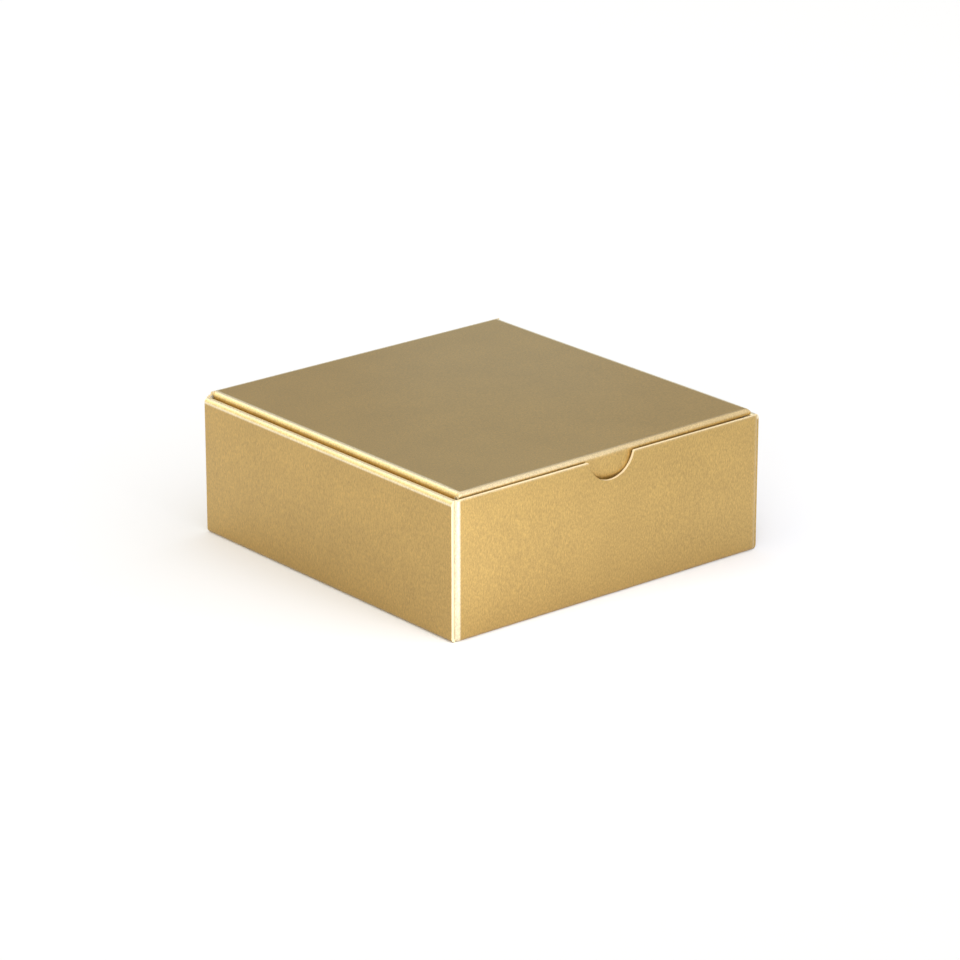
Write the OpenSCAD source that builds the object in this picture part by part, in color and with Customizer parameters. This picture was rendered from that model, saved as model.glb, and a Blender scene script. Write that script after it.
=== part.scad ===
// Favor box: a flat square carton folded from one die-cut sheet of gold-faced paperboard.
// Front and back walls are single boards. Each side wall is rolled over at its top, with
// corner tabs of the front and back walls held between its two layers. The lid folds off the
// back wall. Its tuck flap goes down behind the front wall, and its two ears inside the sides.
// Origin: middle of the underside. X goes right, Y goes back, Z goes up. Lengths in mm.

/* [Box] */
// Outside width, left to right
box_w = 76.2; // [60:0.1:110]
// Outside depth, front to back
box_d = 76.2; // [66:0.1:110]
// Height to the top of the closed lid
box_h = 28.6; // [24:0.1:45]
// Step from the top of the closed lid down to the tops of the walls
lid_rise = 1.0; // [0.85:0.05:1.5]

/* [Board] */
// Thickness of the paperboard
board = 0.55; // [0.4:0.05:0.65]
// Outer radius of the folds of the walls, the bottom, the corner tabs and the lid's hinge
fold_r = 0.8; // [0.7:0.05:1.1]
// Play between two layers of a rolled side wall
layer_play = 0.05; // [0.02:0.01:0.15]

/* [Thumb notch] */
// Width of the notch in the top of the front wall
notch_w = 11.4; // [10:0.1:20]
// Depth of the notch below the top of the front wall
notch_depth = 4.5; // [4.3:0.1:6]

/* [Corner tabs] */
// Length of a corner tab inside the side wall, from the front or back face
tab_len = 20; // [12:0.5:28]
// Height that a tab loses above and below towards its free end
tab_taper = 3; // [1:0.5:6]
// Gap above and below a tab inside the side wall
tab_gap = 0.25; // [0.15:0.05:1]

/* [Inner side panels] */
// Gap from an inner side panel to the front and back walls
inner_play = 0.3; // [0.2:0.05:1]
// Gap under the inner side panels, and from their lock tabs to the ground
floor_play = 0.05; // [0.02:0.01:0.2]
// Width of a lock tab under an inner side panel
lock_w = 11; // [6:0.5:16]
// Distance between the middles of the two lock tabs of a side
lock_pitch = 38; // [24:1:44]
// Play of a lock tab in its slot in the bottom
slot_play = 0.15; // [0.08:0.01:0.2]

/* [Lid ears] */
// Depth of an ear below the middle of its fold
ear_h = 12; // [8:0.5:16]
// Outer radius of the fold between the lid and an ear
ear_fold_r = 0.85; // [0.7:0.05:0.9]
// Gap between an ear and the inner side panel
ear_play = 0.15; // [0.1:0.05:0.5]
// Slit between the lid's front fold and the fold of an ear
ear_slit = 0.1; // [0.1:0.05:0.3]
// How far the front end of an ear steps back from the front end of its fold
ear_step = 0.3; // [0.3:0.05:0.6]
// Upright part of the front end of an ear, above its slanted cut
ear_lip = 1.2; // [0.6:0.1:2]
// Angle of the slanted cut at the front end of an ear, from upright
ear_front_angle = 45; // [40:1:55]
// Distance from the back end of an ear to the fold that the lid turns on
ear_back_gap = 0.2; // [0.1:0.1:6]
// Angle of the cut at the back end of an ear, from upright
ear_back_angle = 8; // [0:1:20]
// Radius of the lower corners of an ear
ear_corner_r = 2; // [1:0.5:3]

/* [Tuck flap] */
// Depth of the tuck flap below the middle of its fold
flap_h = 14; // [11:0.5:16]
// Outer radius of the fold between the lid and the tuck flap
flap_fold_r = 0.75; // [0.7:0.05:0.9]
// Gap between the front wall and the fold of the tuck flap
flap_play = 0.25; // [0.15:0.05:0.6]
// How far the fold of the tuck flap goes past each side fold of the lid
flap_shoulder = 0.8; // [0.2:0.05:0.85]
// Depth of those shoulders below the middle of the fold
flap_shoulder_h = 0.4; // [0.2:0.05:0.4]
// Distance from the lid's side folds to the ends of the tuck flap, below its mitred corners
flap_inset = 3.5; // [3.3:0.1:6]
// Lean of the tuck flap away from the front wall, which lets it swing out without rubbing
flap_lean = 6; // [5:0.5:9]
// Angle of the cut at each end of the tuck flap, from upright
flap_taper = 9; // [0:1:20]
// Radius of the lower corners of the tuck flap
flap_corner_r = 5; // [2:0.5:7]

/* [Hidden] */
$fn = 64;

// The foil face of the board
gold = [0.78, 0.65, 0.39];

// Cuts run past the board by this much
overrun = board;
// Straight steps that an arc in an outline is drawn with
arc_steps = 12;

// A rolled side wall holds an outer panel, a corner tab and an inner panel
wall_w = 3 * board + 2 * layer_play;
crest_r = wall_w / 2;
wall_top = box_h - lid_rise;
crest_z = wall_top - crest_r;

// The side panels end just behind the inner faces of the front and back walls
edge_setback = board + layer_play;
side_len = box_d - 2 * edge_setback;
inner_len = box_d - 2 * (board + inner_play);
inner_x = wall_w - board;
inner_z = board + floor_play;

// A corner tab lies just inside the outer side panel, and an upright fold leads to its wall
tab_x = board + layer_play;
corner_x = tab_x + fold_r;
wall_len = box_w - 2 * corner_x;
tab_z = fold_r + tab_gap;
tab_top = crest_z - tab_gap;

// The lid's own folds stand clear of the side walls and of the front wall
lid_half = box_w / 2 - wall_w - ear_play - ear_fold_r;
lid_front_y = board + flap_play + flap_fold_r - box_d / 2;
lid_back_y = box_d / 2 - fold_r;
flap_fold_half = lid_half + flap_shoulder;
ear_front_y = lid_front_y + ear_slit;
ear_axis_z = box_h - ear_fold_r;
flap_axis_z = box_h - flap_fold_r;

// Points of an arc about a middle, from angle a to angle b
function arc(middle, r, a, b) = [
    for (i = [0 : arc_steps])
        let (angle = a + (b - a) * i / arc_steps) middle + r * [cos(angle), sin(angle)]
];

// Points that round the corner b of an outline, which comes from a and goes on to c
function round_corner(a, b, c, r) =
    let (
        u = (a - b) / norm(a - b),
        v = (c - b) / norm(c - b),
        half_angle = acos(u * v) / 2,
        middle = b + (u + v) / norm(u + v) * r / sin(half_angle),
        start = b + u * r / tan(half_angle) - middle,
        turn = sign(cross(b - a, c - b)) * (180 - 2 * half_angle),
        angle = atan2(start[1], start[0])
    ) arc(middle, r, angle, angle + turn);

// Extrudes a section drawn in Y and Z along X, about the middle
module along_x(length) {
    rotate([90, 0, 90]) linear_extrude(length, center = true) children();
}

// Extrudes a section drawn in X and Z along Y, about the middle
module along_y(length) {
    rotate([90, 0, 0]) linear_extrude(length, center = true) children();
}

// Mirrors its child from the left side to the right side
module on_right() {
    mirror([1, 0, 0]) children();
}

// Section of a fold: board bent round the origin, from angle a to angle b
module fold_section(r, a, b) {
    intersection() {
        difference() {
            circle(r);
            circle(r - board);
        }
        polygon(concat([[0, 0]], arc([0, 0], 2 * r, a, b)));
    }
}

// Section of a wall that ends at a height, with the fold at its foot. Its outer face is at 0.
module wall_section(top) {
    translate([fold_r, fold_r]) fold_section(fold_r, 180, 270);
    translate([0, fold_r]) square([board, top - fold_r]);
}

// Bottom, with two slots beside each side wall for the lock tabs
module bottom_panel() {
    slot_w = board + 2 * slot_play;
    slot_len = lock_w + 2 * slot_play;
    color(gold) difference() {
        translate([fold_r - box_w / 2, fold_r - box_d / 2, 0])
            cube([box_w - 2 * fold_r, box_d - 2 * fold_r, board]);
        for (side = [-1, 1], end = [-1, 1])
            translate([side * (box_w / 2 - wall_w + board / 2), end * lock_pitch / 2, board / 2])
                cube([slot_w, slot_len, board + 2 * overrun], center = true);
    }
}

// Front wall, with the round thumb notch that shows the tuck flap
module front_wall() {
    notch_r = (notch_w * notch_w / 4 + notch_depth * notch_depth) / (2 * notch_depth);
    color(gold) difference() {
        translate([0, -box_d / 2, 0]) along_x(wall_len) wall_section(wall_top);
        translate([0, (board - box_d) / 2, wall_top - notch_depth + notch_r]) rotate([90, 0, 0])
            cylinder(r = notch_r, h = board + 2 * overrun, center = true);
    }
}

// Back wall, which goes up to the fold of the lid
module back_wall() {
    color(gold) mirror([0, 1, 0]) translate([0, -box_d / 2, 0]) along_x(wall_len)
        wall_section(box_h - fold_r);
}

module outer_side() {
    color(gold) translate([-box_w / 2, 0, 0]) along_y(side_len) wall_section(crest_z);
}

// The strip that rolls over from the outer side panel to the inner one
module side_crest() {
    color(gold) translate([crest_r - box_w / 2, 0, crest_z]) along_y(side_len)
        fold_section(crest_r, 0, 180);
}

module inner_side() {
    color(gold) translate([inner_x - box_w / 2, -inner_len / 2, inner_z])
        cube([board, inner_len, crest_z - inner_z]);
}

// Two tabs under the inner side panel, which hold it down in the slots of the bottom
module lock_tabs() {
    color(gold) for (end = [-1, 1])
        translate([inner_x - box_w / 2, (end * lock_pitch - lock_w) / 2, floor_play])
            cube([board, lock_w, inner_z - floor_play]);
}

// Corner tab at the front left, with the upright fold that joins it to the front wall. The fold
// goes up to the top of the wall, before the end of the rolled side.
module corner_tab() {
    half_len = tab_len / 2;
    outline = [
        [-overrun, tab_z], [half_len, tab_z], [tab_len, tab_z + tab_taper],
        [tab_len, tab_top - tab_taper], [half_len, tab_top], [board, tab_top],
        [board, wall_top], [-overrun, wall_top],
    ];
    color(gold) translate([-box_w / 2, -box_d / 2, 0]) intersection() {
        linear_extrude(box_h) {
            translate([corner_x, fold_r]) fold_section(fold_r, 180, 270);
            translate([tab_x, fold_r]) square([board, tab_len - fold_r]);
        }
        translate([corner_x / 2, 0, 0]) along_x(corner_x + 2 * overrun) polygon(outline);
    }
}

module lid_panel() {
    color(gold) translate([-lid_half, lid_front_y, box_h - board])
        cube([2 * lid_half, lid_back_y - lid_front_y, board]);
}

// The fold that the lid turns on, from the lid down to the back wall. It ends flush with the
// folds of the ears.
module lid_hinge_crease() {
    color(gold) translate([0, lid_back_y, box_h - fold_r]) along_x(2 * (lid_half + ear_fold_r))
        fold_section(fold_r, 0, 90);
}

module tuck_flap_crease() {
    color(gold) translate([0, lid_front_y, flap_axis_z]) along_x(2 * flap_fold_half)
        fold_section(flap_fold_r, 90, 180 + flap_lean);
}

// Tuck flap: its shoulders close the corners of the lid, and mitred corners below them clear
// the folded ears. Its ends taper and its lower corners are round.
module tuck_flap() {
    mitre_half = lid_half - ear_lip;
    half = lid_half - flap_inset;
    mitre_end = -flap_shoulder_h - (mitre_half - half);
    low = half - (flap_h + mitre_end) * tan(flap_taper);
    end_left = [-half, mitre_end];
    low_left = [-low, -flap_h];
    low_right = [low, -flap_h];
    end_right = [half, mitre_end];
    outline = concat(
        [
            [-flap_fold_half, 0], [-flap_fold_half, -flap_shoulder_h],
            [-mitre_half, -flap_shoulder_h], end_left,
        ],
        round_corner(end_left, low_left, low_right, flap_corner_r),
        round_corner(low_left, low_right, end_right, flap_corner_r),
        [
            end_right, [mitre_half, -flap_shoulder_h],
            [flap_fold_half, -flap_shoulder_h], [flap_fold_half, 0],
        ]
    );
    color(gold) translate([0, lid_front_y, flap_axis_z]) rotate([flap_lean, 0, 0])
        translate([0, board / 2 - flap_fold_r, 0]) along_y(board) polygon(outline);
}

module ear_crease() {
    color(gold) translate([-lid_half, (ear_front_y + lid_back_y) / 2, ear_axis_z])
        along_y(lid_back_y - ear_front_y) fold_section(ear_fold_r, 90, 180);
}

// Left ear: its front end is cut back so that it clears the tuck flap, also when both fold in
module ear() {
    ear_back_y = lid_back_y - ear_back_gap;
    lip_y = ear_front_y + ear_step;
    lip_end = [lip_y, -ear_lip];
    low_front = [lip_y + (ear_h - ear_lip) * tan(ear_front_angle), -ear_h];
    low_back = [ear_back_y - ear_h * tan(ear_back_angle), -ear_h];
    top_back = [ear_back_y, 0];
    outline = concat(
        [[lip_y, 0], lip_end],
        round_corner(lip_end, low_front, low_back, ear_corner_r),
        round_corner(low_front, low_back, top_back, ear_corner_r),
        [top_back]
    );
    color(gold) translate([board / 2 - ear_fold_r - lid_half, 0, ear_axis_z]) along_x(board)
        polygon(outline);
}

bottom_panel();
front_wall();
back_wall();
outer_side();  // left_outer_side
side_crest();  // left_side_crest
inner_side();  // left_inner_side
lock_tabs();  // left_lock_tabs
on_right() outer_side();  // right_outer_side
on_right() side_crest();  // right_side_crest
on_right() inner_side();  // right_inner_side
on_right() lock_tabs();  // right_lock_tabs
corner_tab();  // front_left_tab
on_right() corner_tab();  // front_right_tab
mirror([0, 1, 0]) corner_tab();  // back_left_tab
on_right() mirror([0, 1, 0]) corner_tab();  // back_right_tab
lid_panel();
lid_hinge_crease();
tuck_flap_crease();
tuck_flap();
ear_crease();  // left_ear_crease
ear();  // left_ear
on_right() ear_crease();  // right_ear_crease
on_right() ear();  // right_ear
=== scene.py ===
"""Dresses the favor box in foil-faced paperboard, and lights it as in a small photo tent.

The box is one sheet of board, folded up. Each piece here is cut flat, as on a die-cut blank,
and is then folded to its place. Lengths are in metres, in the frame of the CAD model: the
origin is the middle of the underside, X goes right, Y goes back and Z goes up.
"""

import math

import bmesh
import bpy
from bpy.props import FloatProperty, FloatVectorProperty, IntProperty, PointerProperty
from mathutils import Matrix, Vector, noise


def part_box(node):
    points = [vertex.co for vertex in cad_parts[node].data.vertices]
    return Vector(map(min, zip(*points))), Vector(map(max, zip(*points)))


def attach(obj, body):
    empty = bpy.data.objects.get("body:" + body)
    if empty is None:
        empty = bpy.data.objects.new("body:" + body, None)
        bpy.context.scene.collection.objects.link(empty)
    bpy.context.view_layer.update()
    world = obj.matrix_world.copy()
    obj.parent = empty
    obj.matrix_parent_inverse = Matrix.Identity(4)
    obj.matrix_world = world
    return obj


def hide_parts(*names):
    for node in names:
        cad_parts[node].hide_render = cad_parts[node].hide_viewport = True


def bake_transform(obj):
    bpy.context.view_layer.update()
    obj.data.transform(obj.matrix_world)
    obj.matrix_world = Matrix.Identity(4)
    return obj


bl_info = {
    "name": "Foil favor box",
    "version": (1, 0, 0),
    "blender": (4, 5, 0),
    "location": "3D View > Sidebar > Favor box",
    "description": "Folds a foil-faced paperboard favor box around its CAD frame",
    "category": "Add Mesh",
}

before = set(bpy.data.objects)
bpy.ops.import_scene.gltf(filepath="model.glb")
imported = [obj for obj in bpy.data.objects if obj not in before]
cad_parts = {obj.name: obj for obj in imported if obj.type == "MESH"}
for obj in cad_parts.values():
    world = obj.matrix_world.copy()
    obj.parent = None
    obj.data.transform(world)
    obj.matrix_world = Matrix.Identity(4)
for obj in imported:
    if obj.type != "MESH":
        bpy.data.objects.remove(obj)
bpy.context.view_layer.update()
MM = 0.001

# Sizes read from the CAD model
LID_LOW, LID_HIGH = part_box("lid_panel")
WALL_LOW, WALL_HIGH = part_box("front_wall")
SIDE_LOW, SIDE_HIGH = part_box("left_outer_side")
CREST_LOW, CREST_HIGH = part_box("left_side_crest")
INNER_LOW, INNER_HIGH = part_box("left_inner_side")
LOCK_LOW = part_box("left_lock_tabs")[0]
EAR_FOLD_LOW, EAR_FOLD_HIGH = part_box("left_ear_crease")
FLAP_FOLD_LOW, FLAP_FOLD_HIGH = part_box("tuck_flap_crease")
HALF_W = -SIDE_LOW.x
HALF_D = -WALL_LOW.y
BOARD = LID_HIGH.z - LID_LOW.z
MID_FOLD = SIDE_HIGH.x - SIDE_LOW.x - BOARD / 2
MID_CREST = (CREST_HIGH.x - CREST_LOW.x - BOARD) / 2
MID_EAR_FOLD = EAR_FOLD_HIGH.x - EAR_FOLD_LOW.x - BOARD / 2
MID_FLAP_FOLD = FLAP_FOLD_HIGH.y - FLAP_FOLD_LOW.y - BOARD / 2

# Material slots of a piece
FOIL, BACK, EDGE = 0, 1, 2

# Lines closer together than this are one line
SAME_LINE = 0.01 * MM

# Lengths along a route: the decimals that are kept, and what a sum may lose
ROUTE_DECIMALS, SUM_LOSS = 7, 1e-9

# Limits for the flat sheet, in millimetres: to snap to a cutting line, to weld the cut points,
# and to join the points that the rounding leaves in one place
CUT_SNAP, WELD, JOIN = 0.004, 0.008, 0.001

# Faces count as facing a direction above this cosine, and as one flat face above the next
FACING, ONE_FACE = 0.9, 0.9999

# A face of the flat sheet is one of the two sides of the board where the Z of its normal is
# above this, up or down. Edges of the folded piece are sharp above the angle.
SHEET_SIDE = 0.8
SHARP_ANGLE = math.radians(24)

# Slow unevenness of the panels: its sizes in millimetres, and the step between two seeds
UNEVEN_WIDE, UNEVEN_LONG, SEED_STEP = 23, 31, 1.7

# Pale foil along the front folds, which is cracked foil and a painted highlight, at their left and
# right ends: more at the left, where the painted highlight stands for the light from the front
# left. It changes between plus and minus this share of the half width. The top edge of a wall
# is a cut, and less pale.
WEAR_AND_HIGHLIGHT_LEFT, WEAR_AND_HIGHLIGHT_RIGHT, WEAR_AND_HIGHLIGHT_SPAN = 0.62, 0.3, 0.7
WEAR_AND_HIGHLIGHT_TOP_EDGE = 0.8
# The right upright folds keep only this share of the pale foil: painted shade, where these folds mirror
# the darker right
WEAR_AND_HIGHLIGHT_RIGHT_UPRIGHT = 0.1
# The pale foil at the lid's rims, which is cracked foil and a painted highlight, is absent at the lid's
# corners, and full this far from them
NO_WEAR_AND_HIGHLIGHT_CORNER, FULL_WEAR_AND_HIGHLIGHT_CORNER = 0.3 * MM, 5 * MM

# Where along X the lid starts to spring up, as a share of the half width
LIFT_START = -0.4

# Above and below the corner tabs the upright folds of the walls turn only this far, and they
# end above the floor by this share of the foot fold's arc
LIP_TURN = math.radians(74)
FOOT_OPEN = 0.3
# The points of the notch are further than this from the ends of the front wall. A wall with a
# notch bows in two parts, each beside this share of its half width, and bows less.
NOTCH_MARGIN = 1 * MM
NOTCH_SHARE, NOTCH_BOW = 0.15, 0.8

# The wave of the tuck flap rises between the first two of these shares of its depth, and
# fades from the third to its fold. It bulges to the wall on the first stretch along v, and
# hollows less on the second.
WAVE_START, WAVE_FULL, WAVE_FADE = 0.2, 0.62, 0.7
BULGE, HOLLOW, HOLLOW_SHARE = (-13 * MM, 2 * MM), (-2 * MM, 12 * MM), 0.3
# More division lines for that wave: shares of the depth, and stretches along v
WAVE_ROWS = ((0.55, 0.95), (0.6, 0.9))
WAVE_COLUMNS = ((-13 * MM, 11 * MM), (-12 * MM, 9 * MM))
# Division lines at each end of the flap's fold, where it is pressed down
FOLD_END_STEPS = 5

# How far the folds of the ears reach past their CAD ends, towards the fold of the tuck flap
EAR_REACH = 0.07 * MM

# Usual low and high values of a noise texture
NOISE_LOW, NOISE_HIGH = 0.3, 0.7
# Texture of the foil: sizes, and how far each darkens and lightens. The strokes are upright.
# Cracks break up the pale foil along the folds, which is wear and a painted highlight, in the given
# range of their noise.
STROKES = (1, 1, 0.4)
GRAIN_SHADE = (0.84, 1.16)
MOTTLE_SIZE, MOTTLE_SHADE = 9 * MM, (0.965, 1.035)
SPECKLE_SIZE, SPECKLE_SHADE = 0.3 * MM, (0.88, 1.12)
CRACK_SIZE, CRACK_SHADE, CRACK_RANGE = 0.15 * MM, (0.9, 1.0), (0.35, 0.6)
ROUGHNESS_PLAY = 0.05
# Texture of the bare board
FIBRE_SHADE = (0.94, 1.04)
CLOUD_SIZE, CLOUD_SHADE = 6 * MM, (0.97, 1.03)
BUMP_STRENGTH = 0.5
FOIL_BUMP = 0.02 * MM

# A side of the tent: its direction, the cosines at which it starts and is full, and its tint
DIM_SIDE = ((0.62, 0.74, 0.30), 0.70, 0.92, (1.0, 1.02, 0.98))
WARM_SIDE = ((-0.75, 0.65, 0.05), 0.45, 0.85, (0.93, 0.78, 0.35))

# Lights: the place of each, the point that it shines at, and its size
TENT_ROOF = ((0.0, 0.1, 0.9), (0, 0, 0), 0.9)
CORNER_LIGHT = ((-0.035, -0.105, 0.045), (-0.02, -0.075, 0), 0.03)
BACK_GLOW = ((0.14, 0.161, 0.09), (0.02, 0.02, LID_HIGH.z), 0.06)
LEFT_PANEL = ((-0.25, 0.50, 0.44), (0, 0, 0), 0.4)
BACK_GLOW_COLOUR = (0.5, 0.8, 1)

# Floor: half its side, its depth under the box, and the strength and share of its own glow.
# Where the foil mirrors it, it carries a painted shadow: darker by the share on the last line
# up to the near distance from the middle of the box, and not at all from the far one.
FLOOR_HALF, FLOOR_DROP = 1.5, 0.02 * MM
FLOOR_COLOUR = (0.86, 0.872, 0.92, 1)
FLOOR_GLOW, GLOW_SHARE = 1.4, 0.1
FLOOR_PAINTED_SHADOW, PAINTED_SHADOW_NEAR, PAINTED_SHADOW_FAR = 0.22, 36 * MM, 80 * MM

CAMERA_PLACE = (-0.48939, -0.58606, 0.29031)
SENSOR_WIDTH = 36
CLIP_NEAR, CLIP_FAR = 0.01, 20


class BoardSizes(bpy.types.PropertyGroup):
    """How the board springs and how it is drawn. The box's own sizes come from the CAD model."""

    edge_round: FloatProperty(
        name="Edge rounding", description="Rounding of the cut edges of the board",
        default=0.07 * MM, min=0.01 * MM, max=0.2 * MM, precision=5, subtype="DISTANCE", unit="LENGTH")
    panel_bow: FloatProperty(
        name="Panel bow", description="How far the middle of a free panel springs out",
        default=0.22 * MM, min=0.0, max=0.5 * MM, precision=5, subtype="DISTANCE", unit="LENGTH")
    ripple: FloatProperty(
        name="Ripple", description="Height of the slow unevenness of the panels",
        default=0.03 * MM, min=0.0, max=0.1 * MM, precision=5, subtype="DISTANCE", unit="LENGTH")
    panel_step: FloatProperty(
        name="Panel step", description="Distance between the lines that a panel is divided on",
        default=3.0 * MM, min=1.0 * MM, max=10 * MM, precision=5, subtype="DISTANCE", unit="LENGTH")
    fold_steps: IntProperty(
        name="Fold steps", description="Straight steps in a quarter turn of a fold",
        default=14, min=4, max=32)
    lid_lift: FloatProperty(
        name="Lid lift", description="How far the lid springs up at its front right corner",
        default=0.32 * MM, min=0.0, max=0.6 * MM, precision=5, subtype="DISTANCE", unit="LENGTH")
    flap_wave: FloatProperty(
        name="Flap wave", description="How far the tuck flap waves in and out behind the thumb notch",
        default=0.62 * MM, min=0.0, max=0.7 * MM, precision=5, subtype="DISTANCE", unit="LENGTH")
    # The reach of the pale foil past a fold, which is cracked foil and a painted highlight
    wear_and_highlight_width: FloatProperty(
        name="Worn width", description="How far the cracked foil reaches past a fold",
        default=0.35 * MM, min=0.05 * MM, max=1.5 * MM, precision=5, subtype="DISTANCE", unit="LENGTH")


class BoardColours(bpy.types.PropertyGroup):
    """Colours and finish of the two faces and the cut edges of the board."""

    foil: FloatVectorProperty(
        name="Foil", description="Colour of the foil face",
        subtype="COLOR", size=4, default=(0.53, 0.35, 0.108, 1), min=0, max=1)
    # The pale colour along the folds is cracked foil and a painted highlight of the curved fold
    foil_wear_and_highlight: FloatVectorProperty(
        name="Worn foil", description="Colour of the foil where a fold has cracked it",
        subtype="COLOR", size=4, default=(0.95, 0.83, 0.58, 1), min=0, max=1)
    back: FloatVectorProperty(
        name="Uncoated face", description="Colour of the face without foil",
        subtype="COLOR", size=4, default=(0.83, 0.77, 0.64, 1), min=0, max=1)
    edge: FloatVectorProperty(
        name="Cut edge", description="Colour of the cut edges of the board",
        subtype="COLOR", size=4, default=(0.85, 0.71, 0.46, 1), min=0, max=1)
    foil_roughness: FloatProperty(
        name="Foil roughness", description="Roughness of the foil face", default=0.42, min=0.05, max=1,
        subtype="FACTOR")
    grain: FloatProperty(
        name="Grain", description="Size of the fine grain of the foil face",
        default=0.17 * MM, min=0.05 * MM, max=2 * MM, precision=5, subtype="DISTANCE", unit="LENGTH")


class StudioSizes(bpy.types.PropertyGroup):
    """Lights, tent and camera."""

    top_light: FloatProperty(
        name="Top light", description="Power of the light above the box, in watts",
        default=0.8, min=0, max=200)
    corner_light: FloatProperty(
        name="Corner light", description="Power of the light before the front left corner, in watts",
        default=0.041, min=0, max=50)
    left_panel: FloatProperty(
        name="Left panel", description="Power of the wide light behind the left side, in watts",
        default=0.3, min=0, max=20)
    back_glow: FloatProperty(
        name="Back glow", description="Power of the pale glow behind the lid, in watts",
        default=0.002, min=0, max=5)
    dim_side: FloatProperty(
        name="Dim side", description="Strength of the tent's dim side, which the lid mirrors",
        default=0.46, min=0, max=2)
    tent: FloatProperty(
        name="Tent", description="Strength of the white of the tent", default=1.12, min=0, max=2)
    focal_length: FloatProperty(
        name="Focal length", description="Focal length of the camera, in millimetres",
        default=157.5, min=10, max=500)
    azimuth: FloatProperty(
        name="Azimuth", description="Direction that the camera looks in, from +Y towards +X",
        default=0.6957, subtype="ANGLE", unit="ROTATION")
    pitch: FloatProperty(
        name="Pitch", description="How far the camera looks down",
        default=0.3491, subtype="ANGLE", unit="ROTATION")
    roll: FloatProperty(
        name="Roll", description="Turn of the camera about its own line of sight",
        default=0.0002, subtype="ANGLE", unit="ROTATION")


def board_sizes():
    return bpy.context.scene.favor_box_board


def colours():
    return bpy.context.scene.favor_box_colours


def studio():
    return bpy.context.scene.favor_box_studio


# Flat outlines, taken from the CAD model's own faces


def face_loops(node, direction):
    """The flat face of a CAD node that looks along direction: its outlines, and its normal.

    It is the largest such face, and its longest outline comes first.
    """
    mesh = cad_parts[node].data
    facing = [p for p in mesh.polygons if p.normal.dot(Vector(direction)) > FACING]
    normal = max(facing, key=lambda p: p.area).normal.copy()
    follows = {}
    for polygon in facing:
        if polygon.normal.dot(normal) < ONE_FACE:
            continue
        corners = [tuple(round(c / MM, 4) for c in mesh.vertices[i].co) for i in polygon.vertices]
        for a, b in zip(corners, corners[1:] + corners[:1]):
            if follows.get(b) and a in follows[b]:
                follows[b].remove(a)
            else:
                follows.setdefault(a, []).append(b)
    loops = []
    starts = [a for a, ends in follows.items() if ends]
    for start in starts:
        loop, here = [], start
        while follows.get(here):
            loop.append(Vector(here) * MM)
            here = follows[here].pop()
        if len(loop) > 2:
            loops.append(loop)
    loops.sort(key=lambda loop: -sum((a - b).length for a, b in zip(loop, loop[1:] + loop[:1])))
    return loops, normal


# Folding: a route is the line that the middle of the board follows, seen along the folds


class Route:
    """Straights and turns of the middle of the board. The foil lies on its left side."""

    def __init__(self, start, heading, steps):
        self.parts = []
        point = Vector(start)
        length = 0.0
        for kind, size, angle in steps:
            run = size if kind == "straight" else abs(size * angle)
            self.parts.append((kind, length, run, point.copy(), heading, size, angle))
            if kind == "straight":
                point += size * Vector((math.cos(heading), math.sin(heading)))
            else:
                point, heading = self.turned(point, heading, size, angle)
            length += run
        self.length = length

    @staticmethod
    def turned(point, heading, radius, angle):
        side = math.copysign(1, angle)
        middle = point + side * radius * Vector((-math.sin(heading), math.cos(heading)))
        heading += angle
        return middle - side * radius * Vector((-math.sin(heading), math.cos(heading))), heading

    def place(self, s, w):
        """Point at s along the route and w to the foil side of the middle."""
        for kind, begin, run, point, heading, size, angle in self.parts:
            if s <= begin + run or begin + run > self.length - SUM_LOSS:
                break
        ahead = s - begin
        if kind == "straight":
            point = point + ahead * Vector((math.cos(heading), math.sin(heading)))
        else:
            point, heading = self.turned(point, heading, size, angle * ahead / run)
        return point + w * Vector((-math.sin(heading), math.cos(heading)))

    def folds(self):
        """Start and end of each turn, as lengths along the route."""
        return [(part[1], part[1] + part[2]) for part in self.parts if part[0] == "turn"]

    def cuts(self):
        """Lengths at which the flat board is divided, close together in the folds."""
        steps = board_sizes().fold_steps
        marks = []
        for kind, begin, run, _, _, _, angle in self.parts:
            if kind == "turn":
                count = max(2, round(steps * abs(angle) / (math.pi / 2)))
            else:
                count = max(1, round(run / board_sizes().panel_step))
            marks += [begin + run * i / count for i in range(count + 1)]
        for begin, end in self.folds():
            marks += [begin - board_sizes().wear_and_highlight_width, end + board_sizes().wear_and_highlight_width]
        return sorted(set(round(m, ROUTE_DECIMALS) for m in marks
                          if -SUM_LOSS < m < self.length + SUM_LOSS))


def straight(length):
    return ("straight", length, 0.0)


def turn(radius, degrees):
    return ("turn", radius, math.radians(degrees))


def even_cuts(a, b):
    """Division lines a panel step apart, from a to b."""
    count = max(1, round((b - a) / board_sizes().panel_step))
    return [a + (b - a) * i / count for i in range(count + 1)]


def rim_cuts(a, b):
    """Division lines from a to b, with one inside each end by the reach of the pale foil, which is
    cracked and has a painted highlight.
    """
    wear_and_highlight = board_sizes().wear_and_highlight_width
    return sorted(even_cuts(a, b) + [a + wear_and_highlight, b - wear_and_highlight])


def from_top(points, top):
    """An outline's points in order, from one end of its top edge round to the other end."""
    high = [i for i, (u, _) in enumerate(points) if u > top - SAME_LINE]
    first = high[-1] if high[-1] - high[0] == 1 else high[0]
    return points[first:] + points[:first]


def swell(u, a, b):
    """1 in the middle of the stretch from a to b, falling smoothly to 0 at its ends and outside."""
    t = 2 * (u - a) / (b - a) - 1
    return (1 - t * t) ** 2 if abs(t) < 1 else 0.0


def ramp(u, a, b):
    """0 up to a, rising smoothly to 1 at b."""
    t = min(max((u - a) / (b - a), 0.0), 1.0)
    return t * t * (3 - 2 * t)


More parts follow.
